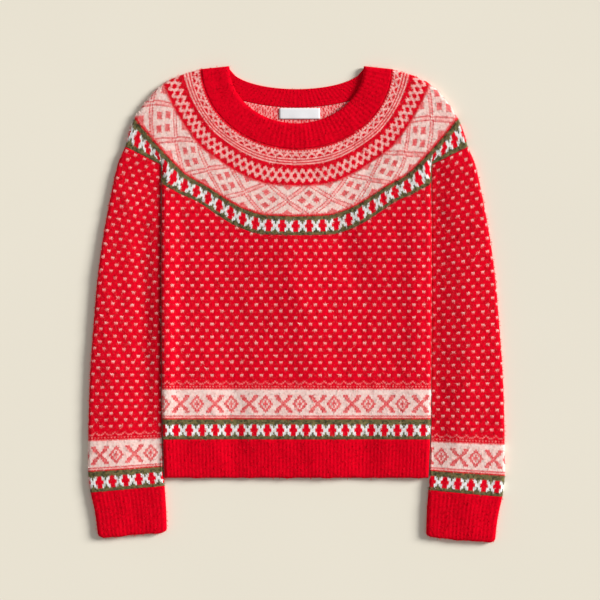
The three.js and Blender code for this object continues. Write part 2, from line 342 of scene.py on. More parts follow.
def linear(colour):
    """Screen colour, 0 to 255, as the linear one that shading uses, by the standard curve."""
    c = np.array(colour, float) / 255
    return np.where(c <= 0.04045, c / 12.92, ((c + 0.055) / 1.055) ** 2.4)


def lerp(a, b, t):
    """The value a share t of the way from a to b."""
    return a + (b - a) * t


def ease(value, low, high):
    """A share that goes softly from 0 at the low end to 1 at the high end."""
    t = np.clip((value - low) / (high - low), 0, 1)
    return t * t * (3 - 2 * t)


def smooth(rows, key, column, at):
    """Value of a table's column, smoothly between its rows and with no overshoot."""
    k, v = rows[key], rows[column]
    slopes = np.diff(v) / np.diff(k)
    before, after = slopes[:-1], slopes[1:]
    same_way = before * after > 0
    bends = np.where(same_way, 2 * before * after / np.where(same_way, before + after, 1), 0)
    tangents = np.concatenate([slopes[:1], bends, slopes[-1:]])
    at = np.asarray(at, float)
    i = np.clip(np.searchsorted(k, at) - 1, 0, len(k) - 2)
    span = k[i + 1] - k[i]
    t = np.clip((at - k[i]) / span, 0, 1)
    t2, t3 = t * t, t * t * t
    return (
        (2 * t3 - 3 * t2 + 1) * v[i]
        + (t3 - 2 * t2 + t) * span * tangents[i]
        + (3 * t2 - 2 * t3) * v[i + 1]
        + (t3 - t2) * span * tangents[i + 1]
    )


# Small unevenness of wool laid by hand, as waves in many directions
WAVE_COUNT = 14
WAVE_RISE = 0.06
WAVE_LENGTHS = (18, 70)
draws = np.random.default_rng(SEEDS["waves"])
waves = [
    (draws.uniform(*WAVE_LENGTHS), draws.uniform(0, math.pi), draws.uniform(0, 2 * math.pi))
    for _ in range(WAVE_COUNT)
]


def unevenness(x, y):
    """Height that the waves add to the upper layer."""
    total = 0
    for length, direction, phase in waves:
        along = x * math.cos(direction) + y * math.sin(direction)
        total = total + np.sin(along * 2 * math.pi / length + phase)
    return WAVE_RISE * total


def loft_at(x, y):
    """Height of the upper layer's outer face over the floor."""
    height = LOFT + unevenness(x, y)
    for k in range(len(FOLDS["x"])):
        fold = {name: values[k] for name, values in FOLDS.items()}
        along = math.radians(fold["angle"])
        dx, dy = x - fold["x"], y - fold["y"]
        far = (dx * math.cos(along) + dy * math.sin(along)) / fold["length"]
        wide = (dy * math.cos(along) - dx * math.sin(along)) / fold["breadth"]
        height = height + fold["rise"] * np.exp(-far * far - wide * wide)
    away = np.abs(x) - CREASE["x"]
    breadth = np.where(away < 0, CREASE["inside"], CREASE["outside"])
    fade = ease(CREASE["top"] - y, 0, CREASE["fade"])
    fade = fade * ease(y, CREASE["end"], CREASE["end"] + CREASE["fade"])
    fade = fade * np.where(away < 0, ease(y, CREASE["foot"], CREASE["foot"] + CREASE["fade"] / 2), 1)
    height = height - CREASE["depth"] * fade * np.exp(-((away / breadth) ** 2))
    return np.maximum(height, LEAST_LOFT)


def neck_point(ellipse, side, turn):
    """Point in plan of the front or back half of an ellipse, turned from its left end."""
    a = np.radians(turn)
    return np.stack([-ellipse["half"] * np.cos(a), ellipse["y"] - ellipse[side] * np.sin(a)], -1)


def seam_point(turn):
    """Lower seam of the yoke, on the half with positive X."""
    on_sleeve = turn <= UNDERARM_TURN
    t = turn / UNDERARM_TURN
    point = []
    for c in "xy":
        straight = lerp(YOKE_SEAM[c][0], YOKE_SEAM[c][1], t)
        point.append(np.where(on_sleeve, straight, smooth(YOKE_SEAM, "turn", c, turn)))
    return point


def yoke_point(side, turn, share):
    """Point of the yoke at a turn round the neck and a share of the way down to its seam."""
    near = np.minimum(turn, 180 - turn)
    sign = np.where(turn < 90, -1, 1)
    neck = neck_point(NECK_SEAM, side, 180 - near)
    seam = seam_point(near)
    free_end = seam_point(np.array(FREE_TURN))
    stepped = ease(share, FREE_SHARE, 1)
    bulge_weight = np.maximum(0, 1 - near / SHOULDER_REACH) ** 2
    point = []
    for k, (c, neck_end) in enumerate(zip("xy", (NECK_SEAM["half"], NECK_SEAM["y"]))):
        straight = lerp(YOKE_SEAM[c][0], free_end[k], np.minimum(near / FREE_TURN, 1))
        low = np.where(near < FREE_TURN, lerp(straight, seam[k], stepped), seam[k])
        bulge = smooth(SHOULDER, "share", c, share) - lerp(neck_end, YOKE_SEAM[c][0], share)
        point.append(lerp(neck[..., k], low, share) + bulge_weight * bulge)
    return np.stack([sign * point[0], point[1]], -1)


def returning(places):
    """The same places from right to left, without the two ends."""
    return places[1:-1][::-1]


class Way:
    """A route in plan from the left side fold to the right one, read by distance."""

    def __init__(self, points):
        self.points = np.asarray(points, float)
        steps = np.linalg.norm(np.diff(self.points, axis=0), axis=1)
        self.marks = np.concatenate([[0], np.cumsum(steps)])
        self.length = self.marks[-1]
        self.round_length = self.length - 2 * FOLD_RADIUS + 2 * FLAT_START

    def at(self, distance):
        return np.stack([np.interp(distance, self.marks, self.points[:, k]) for k in (0, 1)], -1)

    def evenly(self, count):
        """Places a stitch leg or a rib's step apart, from fold to fold."""
        return np.linspace(0, self.round_length, count + 1)

    def coarsely(self, count):
        """Places from fold to fold, close together where the cloth turns."""
        turned = np.arange(FOLD_STEPS) / FOLD_STEPS * FLAT_START
        flat = np.linspace(FLAT_START, self.round_length - FLAT_START, count)
        return np.concatenate([turned, flat, self.round_length - turned[::-1]])

    def from_fold(self, s):
        """Way to the nearer side fold."""
        return np.minimum(s, self.round_length - s)

    def place(self, s):
        """Outer and inner points in plan at the way s round the cloth, and the fold's rise there."""
        s = np.asarray(s, float)
        near = self.from_fold(s)
        angle = np.clip(near / FOLD_RADIUS, 0, math.pi / 2)
        back = 1 - np.cos(angle)
        flat = np.maximum(near - FLAT_START, 0)
        outer = FOLD_RADIUS * back + flat
        inner = WALL + (FOLD_RADIUS - WALL) * back + flat
        flip = s > self.round_length / 2
        outer = np.where(flip, self.length - outer, outer)
        inner = np.where(flip, self.length - inner, inner)
        return self.at(outer), self.at(inner), np.sin(angle)

    def upper(self, s, base=FOLD_RADIUS, crown=0):
        """Points of the upper layer's outer and inner faces."""
        outer, inner, rise = self.place(s)
        rise = rise * (1 - crown * np.exp(-self.from_fold(np.asarray(s)) / CROWN_REACH))
        top = base + (loft_at(outer[:, 0], outer[:, 1]) - base) * rise
        under = base + (loft_at(inner[:, 0], inner[:, 1]) - WALL - base) * rise
        return np.column_stack([outer, top]), np.column_stack([inner, under])

    def lower(self, s, base=FOLD_RADIUS):
        """Points of the lower layer's outer face, on the floor, and of its inner face."""
        outer, inner, rise = self.place(s)
        under = base * (1 - rise)
        return np.column_stack([outer, under]), np.column_stack([inner, lerp(base, WALL, rise)])


letters = list(YARNS)
yarn_usual = np.array([linear(YARNS[letter][0]) for letter in letters])
yarn_stray = np.array([linear(YARNS[letter][1]) for letter in letters])
strays = np.random.default_rng(SEEDS["strays"]).random(STRAY_PATCH) ** STRAY_POWER
INSIDE = 1000  # added to the row numbers of the cloth's wrong side


def yarn_codes(line, columns):
    """Numbers of the yarns in a chart's line at some stitch columns."""
    return np.array([letters.index(letter) for letter in line])[columns % len(line)]


def yarn_at(rows, repeat):
    """A rule that gives the colours of the stitches at columns u and rows v. The last rows repeat."""

    def colours(u, v):
        u, v = np.floor(u).astype(int), np.floor(v).astype(int)
        codes = np.empty(len(u), int)
        inside = v >= INSIDE
        beyond = v >= len(rows)
        row = np.where(beyond, len(rows) - repeat + (v - len(rows)) % repeat, np.maximum(v, 0))
        for k in np.unique(row[~inside]):
            here = (row == k) & ~inside
            line, shift = rows[k]
            codes[here] = yarn_codes(line, u[here] + shift)
        for k, line in enumerate(WRONG_SIDE):
            here = inside & (v % len(WRONG_SIDE) == k)
            codes[here] = yarn_codes(line, u[here])
        stray = strays[u % STRAY_PATCH[0], v % STRAY_PATCH[1]]
        return lerp(yarn_usual[codes], yarn_stray[codes], stray)

    return colours


def one_yarn(letter):
    """A rule that gives one yarn's colours everywhere."""
    return yarn_at([(letter, 0)], 1)


class Shell:
    """A closed mesh of chains of points, laced together."""

    LACE_MARGIN = 3  # matching points that a ladder takes in before chains part

    def __init__(self):
        self.points, self.places, self.faces = [], [], []

    def chain(self, points, u, v):
        """Adds points with their stitch column u and row v, and returns their numbers."""
        start = len(self.points)
        self.points.extend(points)
        self.places.extend(zip(np.broadcast_to(u, len(points)), np.broadcast_to(v, len(points))))
        return list(range(start, len(self.points)))

    def quads(self, a, b):
        """Faces between chains of one length."""
        for i in range(len(a) - 1):
            self.faces.append((a[i], a[i + 1], b[i + 1], b[i]))

    def ladder(self, a, b):
        """Triangles between chains of any two lengths, by the shorter diagonal each time."""
        i = j = 0
        p = self.points
        while i < len(a) - 1 or j < len(b) - 1:
            if i == len(a) - 1:
                on_a = False
            elif j == len(b) - 1:
                on_a = True
            else:
                on_a = np.sum((p[a[i + 1]] - p[b[j]]) ** 2) < np.sum((p[a[i]] - p[b[j + 1]]) ** 2)
            if on_a:
                self.faces.append((a[i], a[i + 1], b[j]))
                i += 1
            else:
                self.faces.append((a[i], b[j + 1], b[j]))
                j += 1

    def lace(self, a, b, tail=0):
        """Faces between chains whose first points match, and whose last ones do from the tail on."""
        if len(a) == len(b):
            self.quads(a, b)
            return
        head = max(0, min(len(a), len(b)) - tail - self.LACE_MARGIN)
        end_a, end_b = len(a) - 1 - tail, len(b) - 1 - tail
        self.quads(a[:head + 1], b[:head + 1])
        self.ladder(a[head:end_a + 1], b[head:end_b + 1])
        self.quads(a[end_a:], b[end_b:])

    def tube(self, outer, inner, tail=0):
        """Closes rings, from the bottom up, into a tube wall. A ladder joins rings of two bands."""
        outer, inner = [[ring + ring[:1] for ring in rings] for rings in (outer, inner)]
        for a, b in zip(outer, outer[1:]):
            if abs(len(a) - len(b)) > tail:
                self.ladder(a, b)
            else:
                self.lace(a, b, tail)
        for a, b in zip(inner, inner[1:]):
            self.lace(b, a)
        self.ladder(inner[0], outer[0])
        self.ladder(outer[-1], inner[-1])

    def slab(self, outer, inner):
        """Closes chains of two faces, listed from the bottom up and running right, into a slab."""
        for a, b in zip(outer, outer[1:]):
            self.lace(a, b)
        for a, b in zip(inner, inner[1:]):
            self.lace(b, a)
        self.ladder(inner[0], outer[0])
        self.ladder(outer[-1], inner[-1])
        self.ladder([row[0] for row in outer], [row[0] for row in inner])
        self.ladder([row[-1] for row in inner], [row[-1] for row in outer])

    def piece(self, name, material, yarn):
        """Makes the mesh, with its stitches as UVs and its yarn colours by a rule."""
        mesh = bpy.data.meshes.new(name)
        mesh.from_pydata([tuple(p * MM) for p in self.points], [], self.faces)
        places = np.array(self.places, float)
        corner_vertex = np.empty(len(mesh.loops), np.int32)
        mesh.loops.foreach_get("vertex_index", corner_vertex)
        stitches = mesh.uv_layers.new(name="stitches")
        stitches.data.foreach_set("uv", places[corner_vertex].astype(np.float32).ravel())
        starts = np.empty(len(mesh.polygons), np.int32)
        sizes = np.empty(len(mesh.polygons), np.int32)
        mesh.polygons.foreach_get("loop_start", starts)
        mesh.polygons.foreach_get("loop_total", sizes)
        middles = np.add.reduceat(places[corner_vertex], starts, axis=0) / sizes[:, None]
        self.colours = yarn(middles[:, 0], middles[:, 1])
        paint(mesh, np.repeat(self.colours, sizes, axis=0))
        mesh.materials.append(material)
        return place_in_scene(name, mesh)


def paint(mesh, colours):
    """Stores a yarn colour for each corner."""
    rgba = np.ones((len(colours), 4), np.float32)
    rgba[:, :3] = colours
    mesh.color_attributes.new("yarn", "FLOAT_COLOR", "CORNER").data.foreach_set("color", rgba.ravel())
    mesh.polygons.foreach_set("use_smooth", np.ones(len(mesh.polygons), bool))


def place_in_scene(name, data):
    """An object of its own for a mesh, a lamp or a camera."""
    made = bpy.data.objects.new(name, data)
    bpy.context.scene.collection.objects.link(made)
    return made


def unit(vectors):
    return vectors / np.maximum(np.linalg.norm(vectors, axis=-1, keepdims=True), 1e-9)


def knitted(grid, seed, plain_rows):
    """A grid with two columns to a stitch, whose middle is raised and hangs to make V shapes."""
    right, up = np.gradient(grid, axis=1), np.gradient(grid, axis=0)
    middle = np.arange(grid.shape[1]) % 2
    stray = np.random.default_rng(seed).normal(0, RELIEF_NOISE, grid.shape[:2])
    relief = WALE_RELIEF * (2 * middle - 1) + stray
    slant = np.broadcast_to(SLANT * middle, grid.shape[:2]).copy()
    slant[plain_rows] = 0
    return grid + unit(np.cross(right, up)) * relief[..., None] - up * slant[..., None]


def ribbed(points, way, s, ribs, seam_distance, free_distance, depth=RIB_DEPTH):
    """Points raised to rounded ribs, which flatten at a seam, and curled down at a free edge."""
    turn = 2 * math.pi * ribs * s / way.round_length
    wave = np.clip(RIB_MIDDLE - RIB_SWING * np.cos(turn), 0, 1)
    on_flat = ease(way.from_fold(s), 0, FLAT_START)
    grown = lerp(RIB_AT_SEAM, 1, ease(seam_distance, 0, RIB_GROWTH))
    points[:, 2] += wave * depth * on_flat * grown
    points[:, 2] -= LIP * max(0, 1 - free_distance / LIP_REACH) ** 2 * on_flat
    return points


def wave_edge(points, free_distance):
    """Moves points near a free edge in plan, so that the edge is a little uneven."""
    wave = EDGE_INSET
    for rise, length, phase in EDGE_WAVES:
        wave = wave + rise * np.sin(points[:, 0] / length + phase)
    points[:, 1] += wave * max(0, 1 - free_distance / EDGE_REACH)


# Materials
NOISE_SPAN = (0.3, 0.7)  # most of a noise lies in this span
FIBRES = {"scale": 1500, "detail": 3}
HEATHER = {"scale": 260, "detail": 4}
HEATHER_SHARE = 0.5  # of the wide noise, and again of the fibres
LEG_ROUNDNESS = 0.6
RUNG_ROUNDNESS = 0.5
FIBRE_RELIEF = 0.8
SHEEN_ROUGHNESS = 0.5
WOOL_SHEEN = (1, 0.45, 0.42)
WHITE = (1, 1, 1)
LABEL_SATIN = (0.86, 0.86, 0.88)
LABEL_THREADS = 900


def node(tree, kind, **settings):
    """A new shader node with some settings."""
    made = tree.nodes.new(kind)
    for name, value in settings.items():
        setattr(made, name, value)
    return made


def maths(tree, operation, *values):
    """Output of a maths node, fed by numbers or by other outputs."""
    made = node(tree, "ShaderNodeMath", operation=operation)
    for socket, value in zip(made.inputs, values):
        if isinstance(value, (int, float)):
            socket.default_value = value
        else:
            tree.links.new(value, socket)
    return made.outputs[0]


def noise(tree, scale, detail):
    """Output of a noise laid through the object."""
    place = node(tree, "ShaderNodeTexCoord")
    made = node(tree, "ShaderNodeTexNoise")
    made.inputs["Scale"].default_value = scale
    made.inputs["Detail"].default_value = detail
    tree.links.new(place.outputs["Object"], made.inputs["Vector"])
    return made.outputs["Fac"]


def toned(tree, colour, factor, low, high):
    """A colour made darker and lighter, from low to high, as a factor runs through its span."""
    tone = node(tree, "ShaderNodeMapRange")
    ends = (*NOISE_SPAN, low, high)
    for name, value in zip(("From Min", "From Max", "To Min", "To Max"), ends):
        tone.inputs[name].default_value = value
    tree.links.new(factor, tone.inputs["Value"])
    scaled = node(tree, "ShaderNodeVectorMath", operation="SCALE")
    if isinstance(colour, tuple):
        scaled.inputs[0].default_value = colour
    else:
        tree.links.new(colour, scaled.inputs[0])
    tree.links.new(tone.outputs["Result"], scaled.inputs["Scale"])
    return scaled.outputs["Vector"]


def new_material(name, roughness, specular, sheen=0, sheen_tint=WHITE):
    """A material, its node tree and its surface shader."""
    material = bpy.data.materials.new(name)
    material.use_nodes = True
    shader = material.node_tree.nodes["Principled BSDF"]
    shader.inputs["Roughness"].default_value = roughness
    shader.inputs["Specular IOR Level"].default_value = specular
    shader.inputs["Sheen Weight"].default_value = sheen
    shader.inputs["Sheen Roughness"].default_value = SHEEN_ROUGHNESS
    shader.inputs["Sheen Tint"].default_value = (*sheen_tint, 1)
    return material, material.node_tree, shader


def bumped(tree, shader, height, strength, distance):
    """Adds fine relief to a surface from a height."""
    bump = node(tree, "ShaderNodeBump")
    bump.inputs["Strength"].default_value = strength
    bump.inputs["Distance"].default_value = distance
    tree.links.new(height, bump.inputs["Height"])
    tree.links.new(bump.outputs["Normal"], shader.inputs["Normal"])


def knit_material(name, mottle, sheen, bump_strength):
    """Wool whose yarn colours come from the mesh, with heathering, fibres and round stitch legs."""
    material, tree, shader = new_material(
        name, roughness=0.95, specular=0, sheen=sheen, sheen_tint=WOOL_SHEEN
    )
    yarn = node(tree, "ShaderNodeVertexColor", layer_name="yarn")
    fibres = noise(tree, **FIBRES)
    fine = maths(tree, "MULTIPLY", fibres, HEATHER_SHARE)
    heather = maths(tree, "MULTIPLY_ADD", noise(tree, **HEATHER), HEATHER_SHARE, fine)
    colour = toned(tree, yarn.outputs["Color"], heather, 1 - mottle, 1 + mottle)
    tree.links.new(colour, shader.inputs["Base Color"])

    uv = node(tree, "ShaderNodeUVMap", uv_map="stitches")
    parts = node(tree, "ShaderNodeSeparateXYZ")
    tree.links.new(uv.outputs["UV"], parts.inputs[0])
    across = maths(tree, "MULTIPLY", parts.outputs["X"], 2 * math.pi)
    leg = maths(tree, "ABSOLUTE", maths(tree, "SINE", across))
    along = maths(tree, "MULTIPLY", parts.outputs["Y"], math.pi)
    rung = maths(tree, "ABSOLUTE", maths(tree, "SINE", along))
    round_leg = maths(tree, "POWER", leg, LEG_ROUNDNESS)
    stitch = maths(tree, "MULTIPLY", round_leg, maths(tree, "POWER", rung, RUNG_ROUNDNESS))
    height = maths(tree, "MULTIPLY_ADD", fibres, FIBRE_RELIEF, stitch)
    bumped(tree, shader, height, bump_strength, distance=0.5 * MM)
    return material


def fuzz_material():
    """Loose wool fibres in the yarn colours of their mesh."""
    material, tree, shader = new_material("wool_fuzz", roughness=1, specular=0)
    yarn = node(tree, "ShaderNodeVertexColor", layer_name="yarn")
    mottle = noise(tree, scale=800, detail=2)
    colour = toned(tree, yarn.outputs["Color"], mottle, low=0.9, high=1.12)
    tree.links.new(colour, shader.inputs["Base Color"])
    return material


def label_material():
    """Plain white satin with fine threads both ways."""
    material, tree, shader = new_material("woven_label", roughness=0.6, specular=0.3, sheen=0.15)
    threads = []
    for direction in "XY":
        wave = node(tree, "ShaderNodeTexWave", bands_direction=direction)
        wave.inputs["Scale"].default_value = LABEL_THREADS
        place = node(tree, "ShaderNodeTexCoord")
        tree.links.new(place.outputs["Object"], wave.inputs["Vector"])
        threads.append(wave.outputs["Fac"])
    weave = maths(tree, "MULTIPLY", maths(tree, "ADD", *threads), 0.5)
    colour = toned(tree, LABEL_SATIN, weave, low=0.9, high=1)
    tree.links.new(colour, shader.inputs["Base Color"])
    bumped(tree, shader, weave, strength=0.4, distance=0.1 * MM)
    return material


MATERIALS = {
    "patterned_knit": knit_material("patterned_knit", mottle=0.09, sheen=0.1, bump_strength=0.5),
    "rib_knit": knit_material("rib_knit", mottle=0.02, sheen=0.03, bump_strength=0.1),
    "woven_label": label_material(),
}
fuzz_wool = fuzz_material()

# Fuzz
FUZZ_LENGTHS = (1.4, 3.6)
FUZZ_WIDTH = 0.11
FUZZ_ROOTS = 0.6  # how far roots lie towards a face's third corner, at most
FUZZ_BEND = 0.6  # usual turn between a fibre's two halves, in radians
FUZZ_LEAST_LIFT = 0.15
FUZZ_LIFT = 0.35  # usual rise of a fibre's middle beyond the least one
FUZZ_DROOP = 0.4  # share of the rise by which its tip sinks again
FUZZ_CLEARANCE = 0.1  # over the floor
FUZZ_PALER = {"patterned_knit": 0.05, "rib_knit": 0.01}
FUZZ_SEED_STEP = 7
FUZZ = {
    "neckband": 3000,
    "yoke": 26000,
    "body_front": 32000,
    "hem_front": 3500,
    "sleeve": 16000,
    "cuff": 1600,
}


def add_fuzz(name, slot, shell, count, seed):
    """Fine bent fibres in the yarns' own colours, rooted all over the upper face."""
    random = np.random.default_rng(seed)
    points = np.array(shell.points)
    face_points = np.array([face[:3] for face in shell.faces])
    a, b, c = (points[face_points[:, k]] for k in range(3))
    normals = np.cross(b - a, c - a)
    areas = np.where((normals[:, 2] > 0) & (a[:, 2] > WALL), np.linalg.norm(normals, axis=1), 0)
    chosen = random.choice(len(areas), count, p=areas / areas.sum())
    mix = random.random((count, 2, 1))
    roots = lerp(lerp(a[chosen], b[chosen], mix[:, 0]), c[chosen], mix[:, 1] * FUZZ_ROOTS)
    turn = random.uniform(0, 2 * math.pi, count)
    bend = turn + random.normal(0, FUZZ_BEND, count)
    length = random.uniform(*FUZZ_LENGTHS, count)[:, None]
    lift = np.abs(random.normal(0, FUZZ_LIFT, count)) + FUZZ_LEAST_LIFT
    zero = np.zeros(count)
    first = np.stack([np.cos(turn), np.sin(turn), zero], 1)
    second = np.stack([np.cos(bend), np.sin(bend), zero], 1)
    side = np.stack([-np.sin(turn), np.cos(turn), zero], 1) * FUZZ_WIDTH / 2
    middle = roots + first * length / 2 + np.stack([zero, zero, lift], 1)
    tip = middle + second * length / 2 - np.stack([zero, zero, lift * FUZZ_DROOP], 1)
    corners = np.stack([roots - side, roots + side, middle + side, tip], 1).reshape(-1, 3)
    corners[:, 2] = np.maximum(corners[:, 2], FUZZ_CLEARANCE)
    first_corner = np.arange(count)[:, None] * 4
    faces = np.concatenate([first_corner + (0, 2, 1), first_corner + (0, 3, 2)])
    mesh = bpy.data.meshes.new(name)
    mesh.from_pydata((corners * MM).tolist(), [], faces.tolist())
    colours = lerp(shell.colours[chosen], 1, FUZZ_PALER[slot] * random.random((count, 1)))
    paint(mesh, np.repeat(np.concatenate([colours, colours]), 3, axis=0))
    mesh.materials.append(fuzz_wool)
    fuzz = place_in_scene(name, mesh)
    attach(fuzz, "root")


def finish_piece(shell, name, slot, yarn, fuzz=0):
    """Makes a piece that replaces the solid of its name, with its fuzz."""
    piece = shell.piece(name + "_cloth", MATERIALS[slot], yarn)
    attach(piece, "root")
    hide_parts(name)
    if fuzz:
        add_fuzz(name + "_fuzz", slot, shell, fuzz, len(name) * FUZZ_SEED_STEP + fuzz)


def neckband():
    rows = RIB_ROWS["neckband"]
    depth = NECK_SEAM["front"] - NECK_EDGE["front"]
    shell = Shell()
    outer, inner, lengths = [], [], []
    for t in np.linspace(0, 1, rows + 1):
        ellipse = {name: lerp(NECK_SEAM[name], NECK_EDGE[name], t) for name in NECK_SEAM}
        for name in ("half", "front", "back"):
            ellipse[name] -= SEAM_GAP / 2 * (1 - t)
        front, back = (Way(neck_point(ellipse, side, NECK_TURNS)) for side in ("front", "back"))
        ribs = NECK_RIBS["front"]
        s = front.evenly(ribs * RIB_STEPS)
        top = ribbed(front.upper(s)[0], front, s, ribs, t * depth, (1 - t) * depth)
        under = back.lower(returning(back.coarsely(RING_UNDER_STEPS)))[0]
        u = np.concatenate([s / front.round_length * ribs * 2, np.zeros(len(under))])
        outer.append(shell.chain([*top, *under], u, t * rows))
        ribs = NECK_RIBS["back"]
        s = returning(back.evenly(ribs * RIB_STEPS))
        floor_side = back.lower(s)[1]
        ribbed(floor_side, back, s, ribs, t * depth, free_distance=LIP_REACH, depth=BACK_RIB_DEPTH)
        lining = front.upper(front.coarsely(RING_LINING_STEPS))[1]
        u = np.concatenate([np.zeros(len(lining)), s / back.round_length * ribs * 2])
        inner.append(shell.chain([*lining, *floor_side], u, t * rows))
        lengths.append(front.round_length + back.round_length)
    shell.tube(outer, inner)
    finish_piece(
        shell,
        "neckband",
        "rib_knit",
        one_yarn("D"),
        fuzz=FUZZ["neckband"],
    )


# Yoke
YOKE_INNER_COLUMNS = 240
YOKE_INNER_SHARES = (1, 0.7, 0.4, *np.linspace(0.22, 0, 15))


def yoke():
    trim = SEAM_GAP / 2 / YOKE_DEPTH
    rows = len(YOKE_ROWS)

    def ways_at(share):
        share = max(share, trim)
        return [Way(yoke_point(side, YOKE_TURNS, share)) for side in ("front", "back")]

    shell = Shell()
    outer, inner, lengths = [], [], []
    line = 0
    for band in reversed(YOKE_BANDS):
        height = len(band["chart"])
        columns = 2 * band["stitches"]
        ways = [ways_at(1 - (line + k) / rows) for k in range(height + 1)]
        is_top = line + height == rows
        plain_rows = []
        if line == 0:
            plain_rows.append(0)
        if is_top:
            plain_rows.append(height)
        grid = np.array([front.upper(front.evenly(columns), crown=CROWN)[0] for front, _ in ways])
        grid = knitted(grid, line, plain_rows)
        for k in range(height + is_top):
            front, back = ways[k]
            under = back.lower(returning(back.coarsely(RING_UNDER_STEPS)))[0]
            u = np.concatenate([np.arange(columns + 1) / 2, np.zeros(len(under))])
            outer.append(shell.chain([*grid[k], *under], u, line + k))
            lengths.append(front.round_length + back.round_length)
        line += height
    for share in YOKE_INNER_SHARES:
        front, back = ways_at(share)
        lining = front.upper(front.coarsely(RING_LINING_STEPS))[1]
        floor_side = back.lower(returning(back.evenly(YOKE_INNER_COLUMNS)))[1]
        u = np.concatenate([np.zeros(len(lining)), np.arange(len(floor_side))])
        inner.append(shell.chain([*lining, *floor_side], u, INSIDE + (1 - share) * rows))
    shell.tube(outer, inner)
    finish_piece(
        shell,
        "yoke",
        "patterned_knit",
        yarn_at(YOKE_ROWS, 1),
        fuzz=FUZZ["yoke"],
    )


# Body and hem
SEAM_TURNS = np.linspace(YOKE_SEAM["turn"][2], 90, 400)
TOP_SAMPLES = 99


def yoke_seam_height(x):
    """How far up the body reaches at x, just under the yoke."""
    seam_x, seam_y = seam_point(SEAM_TURNS)
    order = np.argsort(seam_x)
    return np.interp(np.abs(x), seam_x[order], seam_y[order]) - SEAM_GAP


def body_way(y):
    """Route across the body at a height in plan."""
    half = float(smooth(BODY_SIDE, "y", "half", y))
    return Way([[-half, y], [half, y]])


def body_front():
    base = FOLD_RADIUS + SEAM_GAP / 2
    bottom = RIB_TOP + SEAM_GAP / 2
    rows = math.ceil((BODY_TOP - bottom) / ROW)
    heights = bottom + np.arange(rows + 1) * ROW
    around = body_way(0).round_length
    columns = 2 * round(around / STITCH)
    grid = np.array([body_way(y).upper(body_way(y).evenly(columns), base)[0] for y in heights])
    lifted = knitted(grid, SEEDS["body_front"], plain_rows=[0])
    shell = Shell()
    outer, inner = [], []
    for c in range(columns + 1):
        limit = float(yoke_seam_height(grid[rows // 2, c, 0]))
        keep = min(int(np.searchsorted(lifted[:, c, 1], limit - ROW * SLIVER)), rows)
        end = lerp(grid[keep - 1, c], grid[keep, c], (limit - heights[keep - 1]) / ROW)
        end[1] = limit
        outer.append(shell.chain([*lifted[:keep, c], end], c / 2, [*range(keep), keep - 0.5]))
        lining = []
        for y in np.linspace(bottom, limit, LINING_ROWS["body_front"]):
            way = body_way(y)
            lining.append(way.upper([way.round_length * c / columns], base)[1][0])
        inner.append(shell.chain(lining, 0, INSIDE))
    shell.slab(inner, outer)
    finish_piece(
        shell,
        "body_front",
        "patterned_knit",
        yarn_at(border(oxo_shift=1, cross_shift=14, lice_shift=2), len(LICE)),
        fuzz=FUZZ["body_front"],
    )


def flat_panel(name, slot, low, top_of, rows):
    """A panel of the back, whose outer face lies plain on the floor."""
    base = FOLD_RADIUS - SEAM_GAP / 2
    shell = Shell()
    outer, inner = [], []
    level = body_way(low)
    shares = level.coarsely(PANEL_STEPS) / level.round_length
    plan_x = level.place(shares * level.round_length)[0][:, 0]
    for t in np.linspace(0, 1, rows + 1):
        points = []
        for share, x in zip(shares, plan_x):
            way = body_way(lerp(low, float(top_of(x)), t))
            points.append([face[0] for face in way.lower([way.round_length * share], base)])
        for chains, face in zip((outer, inner), zip(*points)):
            chains.append(shell.chain(face, np.arange(len(face)), t * rows))
    shell.slab(inner, outer)
    tops = top_of(np.linspace(plan_x[0], plan_x[-1], TOP_SAMPLES))
    finish_piece(
        shell,
        name,
        slot,
        one_yarn("R"),
    )


def hem_front():
    base = FOLD_RADIUS + SEAM_GAP / 2
    rows = RIB_ROWS["hem_front"]
    ribs = round(body_way(RIB_TOP).round_length / RIB_PITCH)
    shell = Shell()
    outer, inner = [], []
    for k, y in enumerate(np.linspace(HEM_EDGE, HEM_TOP, rows + 1)):
        way = body_way(y)
        s = way.evenly(ribs * RIB_STEPS)
        points, lining = way.upper(s, base)
        points = ribbed(points, way, s, ribs, HEM_TOP - y, y - HEM_EDGE)
        wave_edge(points, y - HEM_EDGE)
        outer.append(shell.chain(points, s / way.round_length * ribs * 2, k))
        if k % LINING_EVERY["hem_front"] == 0:
            wave_edge(lining, y - HEM_EDGE)
            inner.append(shell.chain(lining, 0, INSIDE))
    shell.slab(outer, inner)
    finish_piece(
        shell,
        "hem_front",
        "rib_knit",
        one_yarn("D"),
        fuzz=FUZZ["hem_front"],
    )


# Sleeves and cuffs. A sleeve's end lies lower than in its table by the drop.
SIDES = (
    {"name": "left", "sign": -1, "drop": -3, "patterns": border(3, 18, 1)},
    {"name": "right", "sign": 1, "drop": 3, "patterns": border(0, 8, 2)},
)
YOKE_END_TRIM = 1.4 * SEAM_GAP  # more than a gap, because the seam at the yoke slants
SLEEVE_TOP = SLEEVE["outer_y"][-1]
CUFF_END = CUFF["outer_y"][0]


def arm_way(rows, side, at, trim=0, corner=0):
    """Route across a sleeve or cuff at the height its middle line has, from left to right."""
    middle = dict(rows, along=lerp(rows["outer_y"], rows["inner_y"], 0.5))
    ends = {c: float(smooth(middle, "along", c, at)) for c in rows}
    shift = -side["drop"] * (ends["outer_y"] - SLEEVE_TOP) / (CUFF_END - SLEEVE_TOP) + trim
    outer_end = (side["sign"] * (ends["outer_x"] - corner), ends["outer_y"] + shift)
    inner_end = (side["sign"] * (ends["inner_x"] + corner), ends["inner_y"] + shift)
    return Way([outer_end, inner_end] if side["sign"] < 0 else [inner_end, outer_end])


